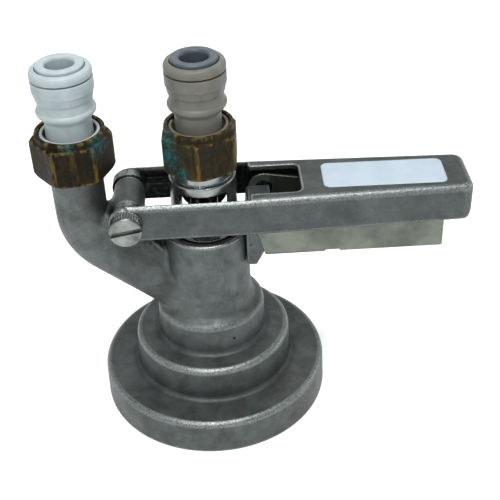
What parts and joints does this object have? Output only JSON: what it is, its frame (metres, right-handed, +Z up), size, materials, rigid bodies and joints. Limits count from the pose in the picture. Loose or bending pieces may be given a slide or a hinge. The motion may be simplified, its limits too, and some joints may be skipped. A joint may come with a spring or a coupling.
{
  "type": "keg coupler",
  "caption": "Keg coupler: stepped bell, side gas elbow, latching lever with trigger, sliding probe and push-fit tube fittings.",
  "frame": {"origin": "centre of the bell's lower rim, on the tower's axis, where the coupler stands on the keg", "axes": "+Z up along the tower and the probe; +X along the lever handle, away from the gas elbow; +Y away from the bolt head's side"},
  "size_m": [0.1542, 0.088, 0.1421],
  "materials": {
    "cast_stainless": "cast and blasted",
    "turned_stainless": "turned",
    "sheet_stainless": "satin sheet",
    "aged_brass": "patinated",
    "white_acetal": "moulded",
    "grey_acetal": "moulded",
    "slate_acetal": "moulded",
    "seal_rubber": "moulded"
  },
  "bodies": {
    "housing": {"coupler_body": "cast_stainless", "keg_seal": "seal_rubber", "gas_check_valve": "seal_rubber", "gas_washer": "seal_rubber", "gas_nut": "aged_brass", "gas_fitting": "white_acetal", "gas_clip": "white_acetal", "gas_tube_seal": "seal_rubber", "gas_cap": "white_acetal"},
    "probe": {"probe_sleeve": "turned_stainless", "sleeve_orings": "seal_rubber", "probe_tube": "turned_stainless", "probe_seal": "seal_rubber", "probe_tip": "turned_stainless", "beer_washer": "seal_rubber", "beer_nut": "aged_brass", "beer_fitting": "grey_acetal", "beer_clip": "grey_acetal", "beer_tube_seal": "seal_rubber", "beer_cap": "grey_acetal"},
    "gas_collet": {"gas_collet": "white_acetal"},
    "beer_collet": {"beer_collet": "slate_acetal"},
    "handle": {"lever": "cast_stainless", "pivot_bolt": "turned_stainless", "latch_spring": "turned_stainless"},
    "trigger": {"trigger": "sheet_stainless", "latch_block": "cast_stainless", "latch_rivet": "turned_stainless"}
  },
  "joints": [
    {"name": "handle_lift", "type": "hinge", "parent": "housing", "child": "handle", "pos_m": [-0.0275, 0, 0.0863], "axis": [0, -1, 0], "range_deg": [0, 25]},
    {"name": "probe_slide", "type": "slide", "parent": "housing", "child": "probe", "axis": [0, 0, 1], "range_m": [0, 0.0118]},
    {"name": "trigger_squeeze", "type": "hinge", "parent": "handle", "child": "trigger", "pos_m": [0.0223, 0, 0.084], "axis": [0, -1, 0], "range_deg": [0, 9], "stiffness_Nm_per_rad": 0.6, "springref_deg": -17.19, "deforming": ["latch_spring"]},
    {"name": "gas_collet_press", "type": "slide", "parent": "housing", "child": "gas_collet", "axis": [0, 0, -1], "range_m": [0, 0.0011], "stiffness_N_per_m": 900, "springref_m": -0.001},
    {"name": "beer_collet_press", "type": "slide", "parent": "probe", "child": "beer_collet", "axis": [0, 0, -1], "range_m": [0, 0.0011], "stiffness_N_per_m": 900, "springref_m": -0.001}
  ],
  "couplings": [
    {"joint": "probe_slide", "follows": "handle_lift", "m_per_rad": 0.027}
  ]
}
